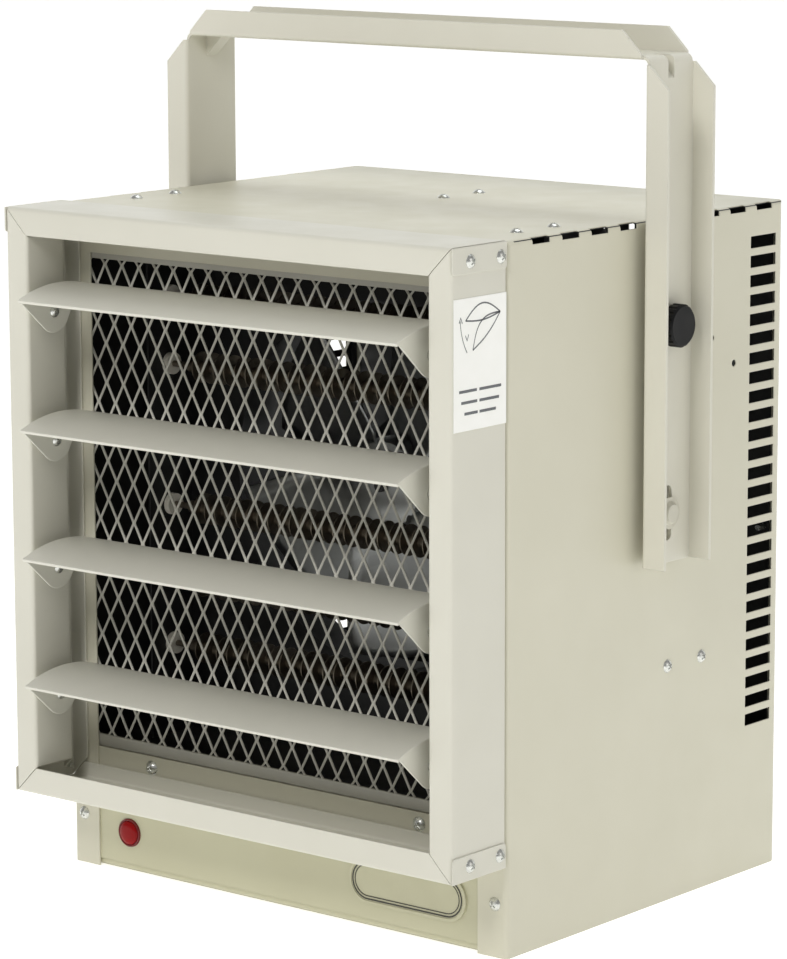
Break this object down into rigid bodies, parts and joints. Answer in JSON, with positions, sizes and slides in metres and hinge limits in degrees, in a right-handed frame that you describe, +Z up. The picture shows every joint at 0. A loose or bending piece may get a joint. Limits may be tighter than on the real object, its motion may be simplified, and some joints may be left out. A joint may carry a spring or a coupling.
{
  "type": "fan-forced unit heater",
  "caption": "Fan-forced electric unit heater with tilting outlet louvres, expanded-metal outlet grille, side air slots and a swivelling yoke bracket with clamp knobs.",
  "frame": {"origin": "centre of the cabinet's footprint, on its underside", "axes": "+X the unit's own right seen from behind the outlet, +Y from the outlet to the rear, +Z up"},
  "size_m": [0.4042, 0.3694, 0.5464],
  "materials": {
    "cabinet_paint": "almond powder coat, satin, fine orange peel",
    "panel_paint": "almond powder coat in the recessed control panel",
    "frame_paint": "almond powder coat on the outlet frame",
    "louver_paint": "almond powder coat on thin steel blades",
    "bracket_paint": "almond powder coat on folded steel",
    "mesh_steel": "flattened expanded steel, grey wash coat",
    "zinc_screws": "bright zinc plate",
    "painted_bolt": "painted pivot bolts",
    "knob_black": "black phenolic",
    "galvanised": "galvanised sheet, faint spangle",
    "shroud_black": "heat-resistant black paint on sheet steel",
    "fan_aluminium": "pressed aluminium",
    "motor_enamel": "dark enamel",
    "guard_wire": "coated wire",
    "element_sheath": "heat-tinted steel sheath and fins",
    "control_plastic": "moulded thermoset",
    "ceramic": "white steatite ceramic",
    "thermostat_body": "moulded nylon",
    "lamp_red": "translucent red lens",
    "label_film": "white vinyl label film",
    "badge_film": "blank badge film"
  },
  "bodies": {
    "housing": {"cabinet_wrapper": "cabinet_paint", "rear_panel": "cabinet_paint", "bottom_panel": "cabinet_paint", "divider_shelf": "cabinet_paint", "control_panel": "panel_paint", "frame_top_rail": "frame_paint", "frame_bottom_rail": "frame_paint", "frame_left_stile": "frame_paint", "frame_right_stile": "frame_paint", "outlet_mesh": "mesh_steel", "louver_pivots": "zinc_screws", "louver_label": "label_film", "pivot_bolts": "painted_bolt", "clamp_inserts": "galvanised", "frame_screws": "zinc_screws", "cabinet_screws": "zinc_screws", "panel_screws": "zinc_screws", "rear_screws": "zinc_screws", "fan_shroud": "shroud_black", "shroud_collar": "shroud_black", "fan_motor": "motor_enamel", "motor_mount": "galvanised", "rear_guard": "guard_wire", "heating_element_1": "element_sheath", "heating_element_2": "element_sheath", "heating_element_3": "element_sheath", "element_supports": "shroud_black", "element_bushes": "ceramic", "limit_switch": "control_plastic", "thermostat": "thermostat_body", "contactor": "control_plastic", "terminal_block": "control_plastic", "ground_screw": "zinc_screws", "conduit_plate": "galvanised", "pilot_lamp_lens": "lamp_red", "pilot_lamp_body": "control_plastic", "badge_plate": "badge_film"},
    "yoke": {"mounting_bracket": "bracket_paint"},
    "knob_left": {"clamp_knob_left": "knob_black"},
    "knob_right": {"clamp_knob_right": "knob_black"},
    "blade_1": {"louver_1": "louver_paint"},
    "blade_2": {"louver_2": "louver_paint"},
    "blade_3": {"louver_3": "louver_paint"},
    "blade_4": {"louver_4": "louver_paint"},
    "fan": {"fan_rotor": "fan_aluminium"},
    "dial": {"thermostat_dial": "knob_black"}
  },
  "joints": [
    {"name": "yoke_swing", "type": "hinge", "parent": "housing", "child": "yoke", "pos_m": [0, 0.006, 0.251], "axis": [-1, 0, 0], "range_deg": [0, 45]},
    {"name": "knob_right_turn", "type": "hinge", "parent": "yoke", "child": "knob_right", "pos_m": [0.19, 0.006, 0.3675], "axis": [1, 0, 0], "range_deg": [0, 720]},
    {"name": "knob_left_turn", "type": "hinge", "parent": "yoke", "child": "knob_left", "pos_m": [-0.19, 0.006, 0.3675], "axis": [-1, 0, 0], "range_deg": [0, 720]},
    {"name": "louver_1_tilt", "type": "hinge", "parent": "housing", "child": "blade_1", "pos_m": [0, -0.1811, 0.3673], "axis": [1, 0, 0], "range_deg": [-6, 24]},
    {"name": "louver_2_tilt", "type": "hinge", "parent": "housing", "child": "blade_2", "pos_m": [0, -0.1811, 0.2857], "axis": [1, 0, 0], "range_deg": [-6, 24]},
    {"name": "louver_3_tilt", "type": "hinge", "parent": "housing", "child": "blade_3", "pos_m": [0, -0.1811, 0.2041], "axis": [1, 0, 0], "range_deg": [-6, 24]},
    {"name": "louver_4_tilt", "type": "hinge", "parent": "housing", "child": "blade_4", "pos_m": [0, -0.1811, 0.1225], "axis": [1, 0, 0], "range_deg": [-6, 24]},
    {"name": "fan_spin", "type": "hinge", "parent": "housing", "child": "fan", "pos_m": [0, -0.031, 0.254], "axis": [0, 1, 0], "continuous": true},
    {"name": "dial_turn", "type": "hinge", "parent": "housing", "child": "dial", "pos_m": [0.118, 0.15, 0.032], "axis": [0, 1, 0], "range_deg": [-140, 140]}
  ]
}
